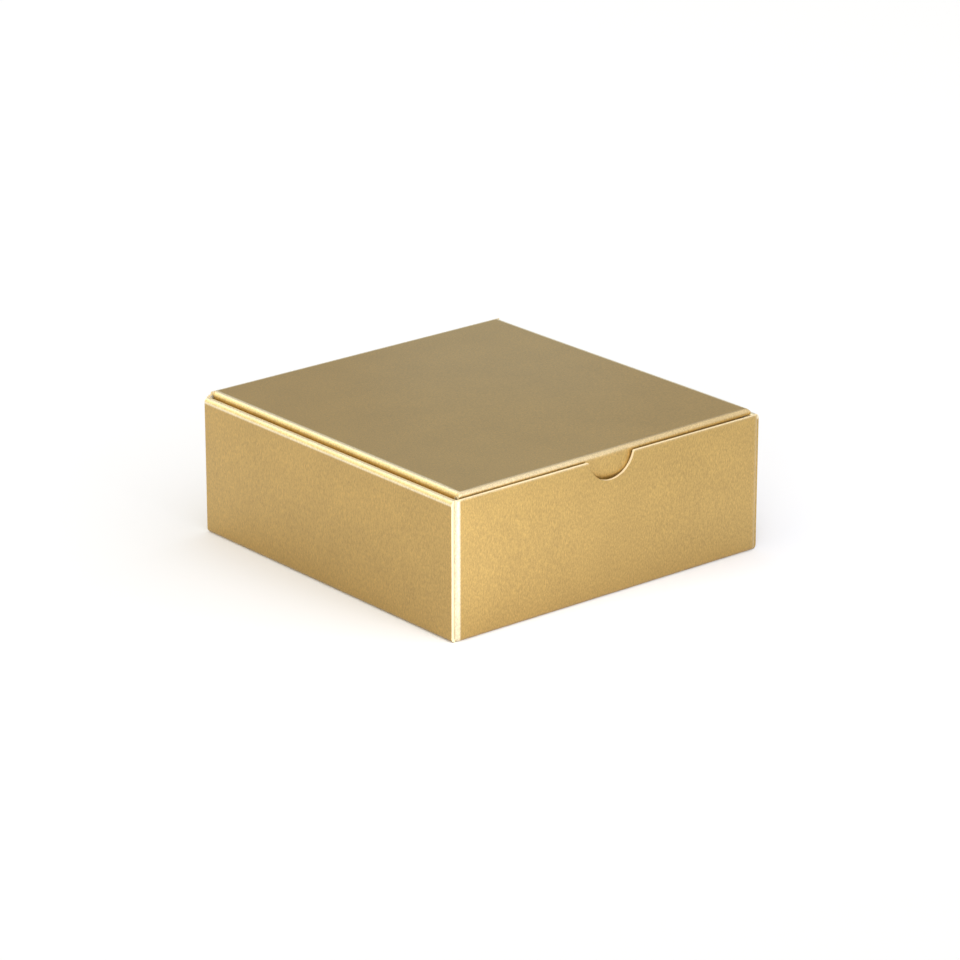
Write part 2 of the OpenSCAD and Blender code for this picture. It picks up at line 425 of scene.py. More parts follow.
def wear_and_highlight_from_left(x):
    """Pale foil along the front folds, wear and a painted highlight, which is more at their left end,
    where the light falls, than at their right end.
    """
    return WEAR_AND_HIGHLIGHT_LEFT - (WEAR_AND_HIGHLIGHT_LEFT - WEAR_AND_HIGHLIGHT_RIGHT) * ramp(x, -WEAR_AND_HIGHLIGHT_SPAN * HALF_W, WEAR_AND_HIGHLIGHT_SPAN * HALF_W)


def sprung(point):
    """A point of the closed lid, moved to where the lid springs up."""
    rightward = ramp(point.x, LIFT_START * HALF_W, HALF_W)
    forward = ramp(-point.y, -HALF_D, HALF_D)
    return point + Vector((0, 0, board_sizes().lid_lift * rightward * forward))


def uneven(u, v, seed):
    """Slow unevenness of a panel, from -1 to 1."""
    return noise.noise(Vector((u / MM / UNEVEN_WIDE + seed, v / MM / UNEVEN_LONG, seed * SEED_STEP)))


def cut_and_fold(name, outline, u_cuts, v_cuts, fold, wear_and_highlight, holes=(), joined=None, mirror=None):
    """Cuts a piece of board to an outline drawn flat, divides it, rounds its edges and folds it.

    outline is a list of (u, v), and holes is one of (u0, v0, u1, v1). fold(u, v, w) gives a
    point's place, w being its height above the middle of the board, towards the foil. The sixth
    argument says, for (u, v), how pale the foil is: cracked, and with a painted highlight of the
    fold. joined(u, v) is true on the lines where the board goes on into the next piece, and is
    not rounded there. mirror is 0 or 1, the axis that changes its sign.
    """
    area = sum(a[0] * b[1] - b[0] * a[1] for a, b in zip(outline, outline[1:] + outline[:1]))
    if area < 0:
        outline = outline[::-1]
    sheet = bmesh.new()
    sheet.faces.new([sheet.verts.new((u / MM, v / MM, BOARD / 2 / MM)) for u, v in outline])
    for cuts, axis in ((u_cuts, Vector((1, 0, 0))), (v_cuts, Vector((0, 1, 0)))):
        for cut in cuts:
            everything = sheet.verts[:] + sheet.edges[:] + sheet.faces[:]
            bmesh.ops.bisect_plane(sheet, geom=everything, plane_co=axis * cut / MM, plane_no=axis,
                                   dist=CUT_SNAP)
    for u0, v0, u1, v1 in holes:
        middles = [(f, f.calc_center_median() * MM) for f in sheet.faces]
        inside = [f for f, middle in middles if u0 < middle.x < u1 and v0 < middle.y < v1]
        bmesh.ops.delete(sheet, geom=inside, context="FACES")
    bmesh.ops.remove_doubles(sheet, verts=sheet.verts[:], dist=WELD)
    under = {v: sheet.verts.new((v.co.x, v.co.y, -v.co.z)) for v in sheet.verts[:]}
    rim = [e for e in sheet.edges if e.is_boundary]
    for face in sheet.faces[:]:
        sheet.faces.new([under[v] for v in reversed(face.verts)])
    rounded = []
    for edge in rim:
        a, b = edge.link_loops[0].vert, edge.link_loops[0].link_loop_next.vert
        sheet.faces.new((b, a, under[a], under[b]))
        ends = [(v.co.x * MM, v.co.y * MM) for v in (a, b)]
        if not (joined and joined(*ends[0]) and joined(*ends[1])):
            rounded += [edge, sheet.edges.get((under[a], under[b]))]
    bmesh.ops.bevel(sheet, geom=rounded, offset=board_sizes().edge_round / MM, offset_type="OFFSET",
                    segments=2, profile=0.5, affect="EDGES", clamp_overlap=True)
    bmesh.ops.remove_doubles(sheet, verts=sheet.verts[:], dist=JOIN)
    sheet.normal_update()
    for face in sheet.faces:
        face.material_index = (FOIL if face.normal.z > SHEET_SIDE
                               else BACK if face.normal.z < -SHEET_SIDE else EDGE)
        face.smooth = True
    # Where the foil is pale along the folds: cracked foil, and a painted highlight
    layer = sheet.verts.layers.float.new("wear_and_highlight")
    for vert in sheet.verts:
        u, v, w = vert.co * MM
        vert[layer] = wear_and_highlight(u, v)
        vert.co = fold(u, v, w)
    if mirror is not None:
        for vert in sheet.verts:
            vert.co[mirror] = -vert.co[mirror]
    bmesh.ops.recalc_face_normals(sheet, faces=sheet.faces[:])
    mesh = bpy.data.meshes.new(name)
    sheet.to_mesh(mesh)
    sheet.free()
    mesh.set_sharp_from_angle(angle=SHARP_ANGLE)
    piece = bpy.data.objects.new(name, mesh)
    bpy.context.scene.collection.objects.link(piece)
    for material in (foil_material(), back_material(), edge_material()):
        mesh.materials.append(material)
    return piece


def upper_part(route):
    """The last two thirds of a route's only fold, where it shows beside the lid."""
    (a, b), = route.folds()
    return [(a + (b - a) / 3, b)]


def near_folds(folds, s):
    """How pale the foil is at s, cracked and with a painted highlight: 1 in a fold, falling to 0 past
    it by the reach of that pale foil.
    """
    reach = board_sizes().wear_and_highlight_width
    most = 0.0
    for a, b in folds:
        past = max(a - s, s - b, 0.0)
        most = max(most, 1 - past / reach)
    return ramp(most, 0, 1)


def bend_with(piece, fixed_face, moving_face):
    """Bakes the piece's place into its mesh. Each face is the two corners of the board's end there; the
    line and the reach that the function works out from them are not used.
    """
    a = (Vector(fixed_face[0]) + Vector(fixed_face[1])) / 2
    b = (Vector(moving_face[0]) + Vector(moving_face[1])) / 2
    along = (b - a).normalized()
    first = max((Vector(p) - a).dot(along) for p in fixed_face)
    last = min((Vector(p) - a).dot(along) for p in moving_face)
    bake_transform(piece)


# Materials


def new_material(name):
    """An empty material: itself, its nodes and its links."""
    material = bpy.data.materials.get(name) or bpy.data.materials.new(name)
    material.use_nodes = True
    nodes = material.node_tree.nodes
    nodes.clear()
    return material, nodes, material.node_tree.links


def new_surface(name):
    """A new material with a Principled shader, that shader, and the place on the object."""
    material, nodes, links = new_material(name)
    out = nodes.new("ShaderNodeOutputMaterial")
    shader = nodes.new("ShaderNodeBsdfPrincipled")
    links.new(shader.outputs["BSDF"], out.inputs["Surface"])
    return material, nodes, links, shader, nodes.new("ShaderNodeTexCoord").outputs["Object"]


def feed(links, socket, value):
    """Links a socket to value if that is a socket too, and else sets it to value."""
    if isinstance(value, bpy.types.NodeSocket):
        links.new(value, socket)
    else:
        socket.default_value = value


def add_noise(nodes, links, place, size, detail, roughness=0.5):
    """Noise whose patches are about size across, at the places that a socket gives."""
    texture = nodes.new("ShaderNodeTexNoise")
    texture.inputs["Scale"].default_value = 1 / size
    texture.inputs["Detail"].default_value = detail
    texture.inputs["Roughness"].default_value = roughness
    links.new(place, texture.inputs["Vector"])
    return texture.outputs["Fac"]


def spread(nodes, links, source, low, high, start=NOISE_LOW, end=NOISE_HIGH, smooth=False):
    """Maps a socket's values from start..end to low..high."""
    node = nodes.new("ShaderNodeMapRange")
    if smooth:
        node.interpolation_type = "SMOOTHSTEP"
    for name, value in (("From Min", start), ("From Max", end), ("To Min", low), ("To Max", high)):
        node.inputs[name].default_value = value
    links.new(source, node.inputs["Value"])
    return node.outputs["Result"]


def combined(nodes, links, operation, a, b):
    """The product or the maximum of two sockets."""
    node = nodes.new("ShaderNodeMath")
    node.operation = operation
    links.new(a, node.inputs[0])
    links.new(b, node.inputs[1])
    return node.outputs["Value"]


def vector_result(nodes, links, operation, source, other=None):
    """A socket's vector times a fixed one, its dot product with a fixed one, or its length."""
    node = nodes.new("ShaderNodeVectorMath")
    node.operation = operation
    links.new(source, node.inputs[0])
    if other is not None:
        node.inputs[1].default_value = other
    return node.outputs["Vector" if operation == "MULTIPLY" else "Value"]


def mixed(nodes, links, kind, factor, a, b):
    """Mixes two colours. Each is a socket or a fixed colour."""
    node = nodes.new("ShaderNodeMix")
    node.data_type = "RGBA"
    node.blend_type = kind
    for name, value in (("Factor", factor), ("A", a), ("B", b)):
        feed(links, node.inputs[name], value)
    return node.outputs["Result"]


def mixed_shaders(nodes, links, factor, a, b):
    """Mixes two shaders. The factor is a socket or a number."""
    node = nodes.new("ShaderNodeMixShader")
    feed(links, node.inputs["Fac"], factor)
    links.new(a, node.inputs[1])
    links.new(b, node.inputs[2])
    return node.outputs["Shader"]


def shade_and_bump(nodes, links, shader, colour, shade, height, depth):
    """Gives a surface its colour, darkened and lightened by shade, and a bump by height."""
    grey = nodes.new("ShaderNodeCombineColor")
    for channel in ("Red", "Green", "Blue"):
        links.new(shade, grey.inputs[channel])
    base = mixed(nodes, links, "MULTIPLY", 1.0, colour, grey.outputs["Color"])
    links.new(base, shader.inputs["Base Color"])
    bump = nodes.new("ShaderNodeBump")
    bump.inputs["Strength"].default_value = BUMP_STRENGTH
    bump.inputs["Distance"].default_value = depth
    links.new(height, bump.inputs["Height"])
    links.new(bump.outputs["Normal"], shader.inputs["Normal"])


# The materials that are already made
_made = {}


def foil_material():
    """Satin gold foil: fine grain, faint mottling, and paler where the board is folded, which is
    cracked foil with a painted highlight of the curved fold.
    """
    if "foil" in _made:
        return _made["foil"]
    look = colours()
    material, nodes, links, shader, place = new_surface("satin_gold_foil")
    upright = vector_result(nodes, links, "MULTIPLY", place, STROKES)
    grain = add_noise(nodes, links, upright, look.grain, detail=5)
    mottle = add_noise(nodes, links, place, MOTTLE_SIZE, detail=3)
    speckle = add_noise(nodes, links, upright, SPECKLE_SIZE, detail=2)
    cracks = add_noise(nodes, links, place, CRACK_SIZE, detail=2)
    shade = spread(nodes, links, grain, *GRAIN_SHADE)
    for patches, shades in ((mottle, MOTTLE_SHADE), (speckle, SPECKLE_SHADE)):
        shade = combined(nodes, links, "MULTIPLY", shade, spread(nodes, links, patches, *shades))
    # Paler along the folds: cracked foil, and a painted highlight of the curved fold
    wear_and_highlight = nodes.new("ShaderNodeAttribute")
    wear_and_highlight.attribute_name = "wear_and_highlight"
    broken = spread(nodes, links, cracks, *CRACK_SHADE, *CRACK_RANGE)
    wear_and_highlight_share = combined(nodes, links, "MULTIPLY", wear_and_highlight.outputs["Fac"], broken)
    colour = mixed(nodes, links, "MIX", wear_and_highlight_share, tuple(look.foil), tuple(look.foil_wear_and_highlight))
    shade_and_bump(nodes, links, shader, colour, shade, grain, FOIL_BUMP)
    shader.inputs["Metallic"].default_value = 0.95
    shader.inputs["Coat Weight"].default_value = 0.55
    shader.inputs["Coat Roughness"].default_value = 0.3
    rough = spread(nodes, links, grain, look.foil_roughness - ROUGHNESS_PLAY,
                   look.foil_roughness + ROUGHNESS_PLAY)
    links.new(rough, shader.inputs["Roughness"])
    _made["foil"] = material
    return material


def paper_material(name, colour, fibre, depth):
    """Bare paperboard: pale, matt, with short fibres."""
    material, nodes, links, shader, place = new_surface(name)
    fibres = add_noise(nodes, links, place, fibre, detail=4, roughness=0.65)
    cloud = add_noise(nodes, links, place, CLOUD_SIZE, detail=3)
    shade = combined(nodes, links, "MULTIPLY", spread(nodes, links, fibres, *FIBRE_SHADE),
                     spread(nodes, links, cloud, *CLOUD_SHADE))
    shade_and_bump(nodes, links, shader, tuple(colour), shade, fibres, depth)
    shader.inputs["Roughness"].default_value = 0.85
    shader.inputs["Specular IOR Level"].default_value = 0.3
    return material


def back_material():
    """The uncoated face, which is the inside of the box."""
    if "back" not in _made:
        _made["back"] = paper_material("uncoated_board", colours().back,
                                        fibre=0.5 * MM, depth=0.02 * MM)
    return _made["back"]


def edge_material():
    """The cut edge, with the layers of the board."""
    if "edge" not in _made:
        _made["edge"] = paper_material("cut_board_edge", colours().edge,
                                        fibre=0.22 * MM, depth=0.03 * MM)
    return _made["edge"]


# The pieces


class FAVORBOX_OT_bottom(bpy.types.Operator):
    """Bottom, with the slots that the side walls lock into"""

    bl_idname = "favorbox.bottom"
    bl_label = "Bottom"

    def execute(self, context):
        loops, _ = face_loops("bottom_panel", (0, 0, -1))
        holes = []
        for loop in loops[1:]:
            us = [-p.x for p in loop]
            vs = [p.y for p in loop]
            holes.append((min(us), min(vs), max(us), max(vs)))
        half_u = max(p.x for p in loops[0])
        half_v = max(p.y for p in loops[0])
        outline = [(-half_u, -half_v), (half_u, -half_v), (half_u, half_v), (-half_u, half_v)]
        u_cuts = even_cuts(-half_u, half_u) + [h[i] for h in holes for i in (0, 2)]
        v_cuts = even_cuts(-half_v, half_v) + [h[i] for h in holes for i in (1, 3)]

        def fold(u, v, w):
            sag = board_sizes().panel_bow * swell(u, -half_u, half_u) * swell(v, -half_v, half_v)
            return Vector((-u, v, BOARD / 2 - w + sag))

        def at_rim(u, v):
            return abs(abs(u) - half_u) < SAME_LINE or abs(abs(v) - half_v) < SAME_LINE

        piece = cut_and_fold("bottom_board", outline, sorted(set(u_cuts)), sorted(set(v_cuts)), fold,
                             lambda u, v: 0.0, holes=holes, joined=at_rim)
        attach(piece, "base")
        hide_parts("bottom_panel")
        return {"FINISHED"}


def wall_with_tabs(name, tab, top, notch, mirror):
    """Front or back wall, with its foot fold, its two upright folds and its corner tabs.

    tab is the CAD node of its left tab, top is the height of the wall, and notch has the points
    (x, z) of the thumb notch. Both walls are folded at the front, and mirror takes one to the back.
    """
    half = WALL_HIGH.x
    foot = Route((-HALF_D + BOARD / 2 + MID_FOLD, BOARD / 2), math.pi,
                 [turn(MID_FOLD, -90), straight(top - BOARD / 2 - MID_FOLD)])
    arc = foot.folds()[0][1]
    fold_z = BOARD / 2 + MID_FOLD
    loops, _ = face_loops(tab, (-1, 0, 0))
    start_y = min(p.y for p in loops[0])
    if mirror is not None:
        start_y = -max(p.y for p in loops[0])
    run = max(abs(p.y) for p in loops[0]) - min(abs(p.y) for p in loops[0])
    corner = Route((-half, -HALF_D + BOARD / 2), math.pi, [turn(MID_FOLD, -90), straight(run)])
    upright = corner.folds()[0][1]
    across = {}
    for p in loops[0]:
        along = (-abs(p.y)) - start_y
        across.setdefault(along > SAME_LINE, []).append((arc + p.z - fold_z, half + upright + along))
    low_u = min(u for u, _ in across[False])
    high_u = max(u for u, _ in across[False])
    top_u = arc + top - fold_z
    fold_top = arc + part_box(tab)[1].z - fold_z
    lip = half + MID_FOLD * LIP_TURN
    foot_end = FOOT_OPEN * arc
    end_points = [(foot_end, half), (foot_end, lip), (low_u, lip)] + sorted(across[True])
    end_points += [(high_u, lip), (fold_top, lip)]
    if top_u - fold_top > SAME_LINE:
        end_points += [(fold_top, half), (top_u, half)]
    crown = [(arc + z - fold_z, -x) for x, z in notch]
    outline = [(0, -half), (0, half)] + end_points + crown + [(u, -v) for u, v in reversed(end_points)]
    beyond = [m + half for m in corner.cuts()]
    v_cuts = sorted(set(rim_cuts(-half, half) + beyond + [-m for m in beyond]))
    sizes = board_sizes()

    def fold(u, v, w):
        if abs(v) <= half:
            free = swell(u, arc, top_u)
            across_it = swell(v, -half, half)
            bow = across_it
            if crown:
                beside = NOTCH_SHARE * half
                bow = NOTCH_BOW * (swell(v, -half, -beside) + swell(v, beside, half))
            w += sizes.panel_bow * free * bow + sizes.ripple * uneven(u, v, seed=3.1) * free * across_it
            y, z = foot.place(u, w)
            return Vector((-v, y, z))
        x, y = corner.place(abs(v) - half, w)
        z = fold_z + u - arc
        if u < arc:
            # Beside the foot fold the corner draws in as the foot does
            around = min((abs(v) - half) / MID_FOLD, math.pi / 2)
            foot_y, z = foot.place(u, w)
            inward = foot_y - foot.place(arc, w)[0]
            x += inward * math.sin(around)
            y += inward * math.cos(around)
        return Vector((math.copysign(x, -v), y, z))

    # The pale foil of the wall's folds and top edge: cracked foil and a painted highlight
    def wear_and_highlight(u, v):
        past = near_folds(corner.folds(), abs(v) - half) if u > foot_end - SAME_LINE else 0.0
        at_top = WEAR_AND_HIGHLIGHT_TOP_EDGE * wear_and_highlight_from_left(-v) * near_folds([(top_u, top_u)], u)
        # The right upright fold keeps little of the pale foil: painted shade there
        return max(at_top, past if v > 0 else WEAR_AND_HIGHLIGHT_RIGHT_UPRIGHT * past)

    def joins(u, v):
        return u < SAME_LINE or (mirror is not None and u > top_u - SAME_LINE)

    u_cuts = sorted(foot.cuts() + [top_u - sizes.wear_and_highlight_width])
    return cut_and_fold(name, outline, u_cuts, v_cuts, fold, wear_and_highlight, joined=joins, mirror=mirror)


class FAVORBOX_OT_front_and_back(bpy.types.Operator):
    """Front wall with its thumb notch, and back wall, each with its corner tabs"""

    bl_idname = "favorbox.front_and_back"
    bl_label = "Front and back walls"

    def execute(self, context):
        loops, _ = face_loops("front_wall", (0, -1, 0))
        top = WALL_HIGH.z
        above = (BOARD + top) / 2
        notch = sorted((p.x, p.z) for p in loops[0]
                       if abs(p.x) < WALL_HIGH.x - NOTCH_MARGIN and p.z > above)
        front = wall_with_tabs("front_board", "front_left_tab", top, notch, None)
        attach(front, "base")
        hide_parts("front_wall", "front_left_tab", "front_right_tab")
        back = wall_with_tabs("back_board", "back_left_tab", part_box("back_wall")[1].z, [], 1)
        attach(back, "base")
        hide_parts("back_wall", "back_left_tab", "back_right_tab")
        return {"FINISHED"}


class FAVORBOX_OT_sides(bpy.types.Operator):
    """Side walls, each one board rolled over its crest and locked into the bottom"""

    bl_idname = "favorbox.sides"
    bl_label = "Rolled side walls"

    def execute(self, context):
        route = Route((-HALF_W + BOARD / 2 + MID_FOLD, BOARD / 2), math.pi,
                      [turn(MID_FOLD, -90), straight(CREST_LOW.z - BOARD / 2 - MID_FOLD),
                       turn(MID_CREST, -180), straight(CREST_LOW.z - LOCK_LOW.z)])
        (_, outer_from), (outer_to, inner_from) = route.folds()
        half, inner_half = SIDE_HIGH.y, INNER_HIGH.y
        inner_end = inner_from + CREST_LOW.z - INNER_LOW.z
        locks = [sorted(p.y for p in loop) for loop in face_loops("left_lock_tabs", (1, 0, 0))[0]]
        locks.sort(key=lambda ys: -ys[0])
        outline = [(0, -half), (0, half), (inner_from, half), (inner_from, inner_half),
                   (inner_end, inner_half)]
        for ys in locks:
            low, high = ys[0], ys[-1]
            outline += [(inner_end, high), (route.length, high), (route.length, low), (inner_end, low)]
        outline += [(inner_end, -inner_half), (inner_from, -inner_half), (inner_from, -half)]
        outline = outline[::-1]
        sizes = board_sizes()

        def fold(u, v, w):
            free = swell(u, outer_from, outer_to)
            w += sizes.panel_bow * free * (1 - (v / half) ** 4)
            w += sizes.ripple * free * uneven(u, v, seed=7.7)
            x, z = route.place(u, w)
            return Vector((x, v, z))

        v_cuts = even_cuts(-half, half)
        for side, mirror in (("left", None), ("right", 0)):
            # The crest fold's pale foil is cracked foil and a painted highlight
            piece = cut_and_fold(side + "_side_board", outline, route.cuts(), v_cuts, fold,
                                 lambda u, v: near_folds(route.folds()[1:], u),
                                 joined=lambda u, v: u < SAME_LINE, mirror=mirror)
            if side == "right":
                # At the front its cut edge takes the foil's material instead of the pale edge's:
                # painted shade, so that the edge shows dark
                for face in piece.data.polygons:
                    if face.material_index == EDGE and face.center.y < -half + BOARD:
                        face.material_index = FOIL
            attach(piece, "base")
            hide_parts(*(side + end for end in ("_outer_side", "_side_crest", "_inner_side",
                                                        "_lock_tabs")))
        return {"FINISHED"}


class FAVORBOX_OT_lid(bpy.types.Operator):
    """Top panel of the lid, and the fold that it turns on"""

    bl_idname = "favorbox.lid"
    bl_label = "Lid and its hinge fold"

    def execute(self, context):
        half = LID_HIGH.x
        front, back = LID_LOW.y, LID_HIGH.y
        sizes = board_sizes()

        def fold(u, v, w):
            free = swell(u, -half, half) * swell(v, front, back)
            rise = sizes.panel_bow * free + 2 * sizes.ripple * free * uneven(u, v, seed=1.3)
            return sprung(Vector((u, v, LID_HIGH.z - BOARD / 2 + w + rise)))

        # The pale foil along the lid's rims: cracked foil and a painted highlight of the folds there
        def wear_and_highlight(u, v):
            at_side = near_folds([(half, half)], abs(u))
            at_front = wear_and_highlight_from_left(u) * near_folds([(front, front)], v)
            at_back = near_folds([(back, back)], v)
            from_corner = math.hypot(abs(u) - half, v - front)
            return ramp(from_corner, NO_WEAR_AND_HIGHLIGHT_CORNER, FULL_WEAR_AND_HIGHLIGHT_CORNER) * max(at_side, at_front, at_back)

        outline = [(-half, front), (half, front), (half, back), (-half, back)]
        lid = cut_and_fold("lid_board", outline, rim_cuts(-half, half), rim_cuts(front, back), fold,
                           wear_and_highlight, joined=lambda u, v: True)
        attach(lid, "lid")
        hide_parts("lid_panel")

        wall_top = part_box("back_wall")[1].z
        route = Route((-HALF_D + BOARD / 2, wall_top), math.pi / 2, [turn(MID_FOLD, -90)])

        def bend(u, v, w):
            y, z = route.place(u, w)
            return Vector((-v, y, z))

        def at_ends(u, v):
            return u < SAME_LINE or u > route.length - SAME_LINE

        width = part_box("lid_hinge_crease")[1].x
        outline = [(0, -width), (route.length, -width), (route.length, width), (0, width)]
        strip = cut_and_fold("lid_hinge_fold", outline, route.cuts(), even_cuts(-width, width), bend,
                             lambda u, v: 1.0, joined=at_ends, mirror=1)
        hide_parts("lid_hinge_crease")
        bend_with(strip,
                  [(0, back, LID_HIGH.z), (0, back, LID_LOW.z)],
                  [(0, HALF_D, wall_top), (0, HALF_D - BOARD, wall_top)])
        return {"FINISHED"}


class FAVORBOX_OT_tuck_flap(bpy.types.Operator):
    """Tuck flap, with the fold that joins it to the lid"""

    bl_idname = "favorbox.tuck_flap"
    bl_label = "Tuck flap"

    def execute(self, context):
        loops, normal = face_loops("tuck_flap", (0, -1, 0))
        heading = math.atan2(normal.z, normal.y) - math.pi / 2
        heading %= 2 * math.pi
        up = Vector((0, math.cos(heading), math.sin(heading)))
        axis = Vector((0, FLAP_FOLD_HIGH.y, FLAP_FOLD_HIGH.z - MID_FLAP_FOLD - BOARD / 2))
        depth = -min((p - axis).dot(up) for p in loops[0])
        out = Vector((-math.sin(heading), math.cos(heading)))
        start = Vector((axis.y, axis.z)) + MID_FLAP_FOLD * out - depth * Vector((up.y, up.z))
        route = Route(start, heading, [straight(depth), turn(MID_FLAP_FOLD, -math.degrees(heading))])
        outline = from_top([(depth + (p - axis).dot(up), -p.x) for p in loops[0]], depth)
        outline += [(route.length, outline[-1][1]), (route.length, outline[0][1])]
        half = abs(outline[0][1])
        sizes = board_sizes()
        corner = EAR_FOLD_HIGH.x - EAR_FOLD_LOW.x

        def fold(u, v, w):
            w += sizes.ripple * uneven(u, v, seed=5.2) * swell(u, -depth, depth)
            shown = ramp(u, WAVE_START * depth, WAVE_FULL * depth)
            shown *= ramp(-u, -depth, -WAVE_FADE * depth)
            w += sizes.flap_wave * shown * (swell(v, *BULGE) - HOLLOW_SHARE * swell(v, *HOLLOW))
            y, z = route.place(u, w)
            # The ends of the fold are pressed down round the corners of the lid
            past = max(abs(v) - LID_HIGH.x, 0.0)
            z -= ramp(u, depth, route.length) * (corner - math.sqrt(corner * corner - past * past))
            return sprung(Vector((-v, y, z)))

        u_cuts = route.cuts()
        for low, high in WAVE_ROWS:
            u_cuts += even_cuts(low * depth, high * depth)
        v_cuts = even_cuts(-half, half)
        for low, high in WAVE_COLUMNS:
            v_cuts += even_cuts(low, high)
        for side in (-1, 1):
            v_cuts += [side * (LID_HIGH.x + (half - LID_HIGH.x) * i / FOLD_END_STEPS)
                       for i in range(FOLD_END_STEPS)]
        # The fold's pale foil is cracked foil and a painted highlight
        piece = cut_and_fold("tuck_flap_board", outline, sorted(u_cuts), sorted(v_cuts), fold,
                             lambda u, v: wear_and_highlight_from_left(-v) * near_folds(upper_part(route), u),
                             joined=lambda u, v: u > route.length - SAME_LINE)
        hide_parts("tuck_flap", "tuck_flap_crease")
        inner = Vector((axis.y, axis.z)) + (MID_FLAP_FOLD - BOARD / 2) * out
        outer = Vector((axis.y, axis.z)) + (MID_FLAP_FOLD + BOARD / 2) * out
        bend_with(piece,
                  [(0, axis.y, LID_HIGH.z), (0, axis.y, LID_LOW.z)],
                  [(0, inner.x, inner.y), (0, outer.x, outer.y)])
        return {"FINISHED"}


class FAVORBOX_OT_ears(bpy.types.Operator):
    """Ears of the lid, each with the fold that joins it to the lid"""

    bl_idname = "favorbox.ears"
    bl_label = "Lid ears"

    def execute(self, context):
        loops, _ = face_loops("left_ear", (-1, 0, 0))
        axis_x = EAR_FOLD_HIGH.x
        axis_z = EAR_FOLD_HIGH.z - MID_EAR_FOLD - BOARD / 2
        depth = axis_z - min(p.z for p in loops[0])
        route = Route((axis_x - MID_EAR_FOLD, axis_z - depth), math.pi / 2,
                      [straight(depth), turn(MID_EAR_FOLD, -90)])
        front, back = EAR_FOLD_LOW.y - EAR_REACH, EAR_FOLD_HIGH.y
        outline = from_top([(depth + p.z - axis_z, p.y) for p in loops[0]], depth)
        ends = (front, back) if outline[0][1] < outline[-1][1] else (back, front)
        outline += [(depth, ends[1]), (route.length, ends[1]), (route.length, ends[0]),
                    (depth, ends[0])]

        for side, sign in (("left", 1), ("right", -1)):

            def fold(u, v, w):
                x, z = route.place(u, w)
                return sprung(Vector((sign * x, v, z)))

            # The fold's pale foil is cracked foil and a painted highlight
            piece = cut_and_fold(side + "_ear_board", outline, route.cuts(), even_cuts(front, back),
                                 fold, lambda u, v: near_folds(upper_part(route), u),
                                 joined=lambda u, v: u > route.length - SAME_LINE)
            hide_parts(side + "_ear", side + "_ear_crease")
            outer, inner = axis_x - MID_EAR_FOLD - BOARD / 2, axis_x - MID_EAR_FOLD + BOARD / 2
            bend_with(piece,
                      [(sign * axis_x, 0, LID_HIGH.z), (sign * axis_x, 0, LID_LOW.z)],
                      [(sign * outer, 0, axis_z), (sign * inner, 0, axis_z)])
        return {"FINISHED"}


def area_light(name, place, target, size, power, colour=(1, 1, 1)):
    """A soft square light at place, which shines at target and isn't in the picture itself."""
    lamp = bpy.data.lights.new(name, "AREA")
    lamp.shape = "SQUARE"
    lamp.size = size
    lamp.energy = power
    lamp.color = colour
    light = bpy.data.objects.new(name, lamp)
    light.location = place
    light.rotation_euler = (Vector(target) - Vector(place)).to_track_quat("-Z", "Y").to_euler()
    light.visible_camera = False
    bpy.context.scene.collection.objects.link(light)


def tent_world(sizes):
    """A white tent, with a dim side that the lid mirrors and a warm side that the left wall mirrors."""
    world = bpy.data.worlds.new("photo_tent")
    world.use_nodes = True
    nodes, links = world.node_tree.nodes, world.node_tree.links
    nodes.clear()
    out = nodes.new("ShaderNodeOutputWorld")
    tent = nodes.new("ShaderNodeBackground")
    toward = nodes.new("ShaderNodeTexCoord").outputs["Generated"]
    shade = (sizes.tent,) * 3 + (1,)
    for (side, start, full, tint), strength in ((DIM_SIDE, sizes.dim_side), (WARM_SIDE, sizes.tent)):
        cosine = vector_result(nodes, links, "DOT_PRODUCT", toward, Vector(side).normalized())
        share = spread(nodes, links, cosine, 0, 1, start, full, smooth=True)
        colour = tuple(strength * c for c in tint) + (1,)
        shade = mixed(nodes, links, "MIX", share, shade, colour)
    links.new(shade, tent.inputs["Color"])
    links.new(tent.outputs["Background"], out.inputs["Surface"])
    return world


def floor_material():
    """Pale paper floor. It looks nearly white, also in the foil, and it keeps a soft shadow.

    Where the foil mirrors the floor close to the box, a painted shadow makes the floor a little darker.
    """
    material, nodes, links = new_material("tent_floor_paper")
    out = nodes.new("ShaderNodeOutputMaterial")
    paper = nodes.new("ShaderNodeBsdfDiffuse")
    paper.inputs["Color"].default_value = FLOOR_COLOUR
    # Black, for the painted shadow that the foil mirrors
    painted_shadow_black = nodes.new("ShaderNodeBsdfDiffuse")
    painted_shadow_black.inputs["Color"].default_value = (0, 0, 0, 1)
    glow = nodes.new("ShaderNodeEmission")
    glow.inputs["Color"].default_value = (1, 1, 1, 1)
    glow.inputs["Strength"].default_value = FLOOR_GLOW
    seen = nodes.new("ShaderNodeLightPath").outputs
    pale = seen["Is Camera Ray"]
    for ray in ("Is Glossy Ray", "Is Transmission Ray"):
        pale = combined(nodes, links, "MAXIMUM", pale, seen[ray])
    place = nodes.new("ShaderNodeTexCoord").outputs["Object"]
    distance = vector_result(nodes, links, "LENGTH", place)
    # Painted shadow on the floor close to the box, seen only where the foil mirrors it
    painted_shadow = spread(nodes, links, distance, FLOOR_PAINTED_SHADOW, 0, PAINTED_SHADOW_NEAR, PAINTED_SHADOW_FAR, smooth=True)
    painted_shadow_in_foil = combined(nodes, links, "MULTIPLY", painted_shadow, seen["Is Glossy Ray"])
    soft = mixed_shaders(nodes, links, GLOW_SHARE, paper.outputs["BSDF"], glow.outputs["Emission"])
    plain = mixed_shaders(nodes, links, pale, paper.outputs["BSDF"], soft)
    whole = mixed_shaders(nodes, links, painted_shadow_in_foil, plain, painted_shadow_black.outputs["BSDF"])
    links.new(whole, out.inputs["Surface"])
    return material


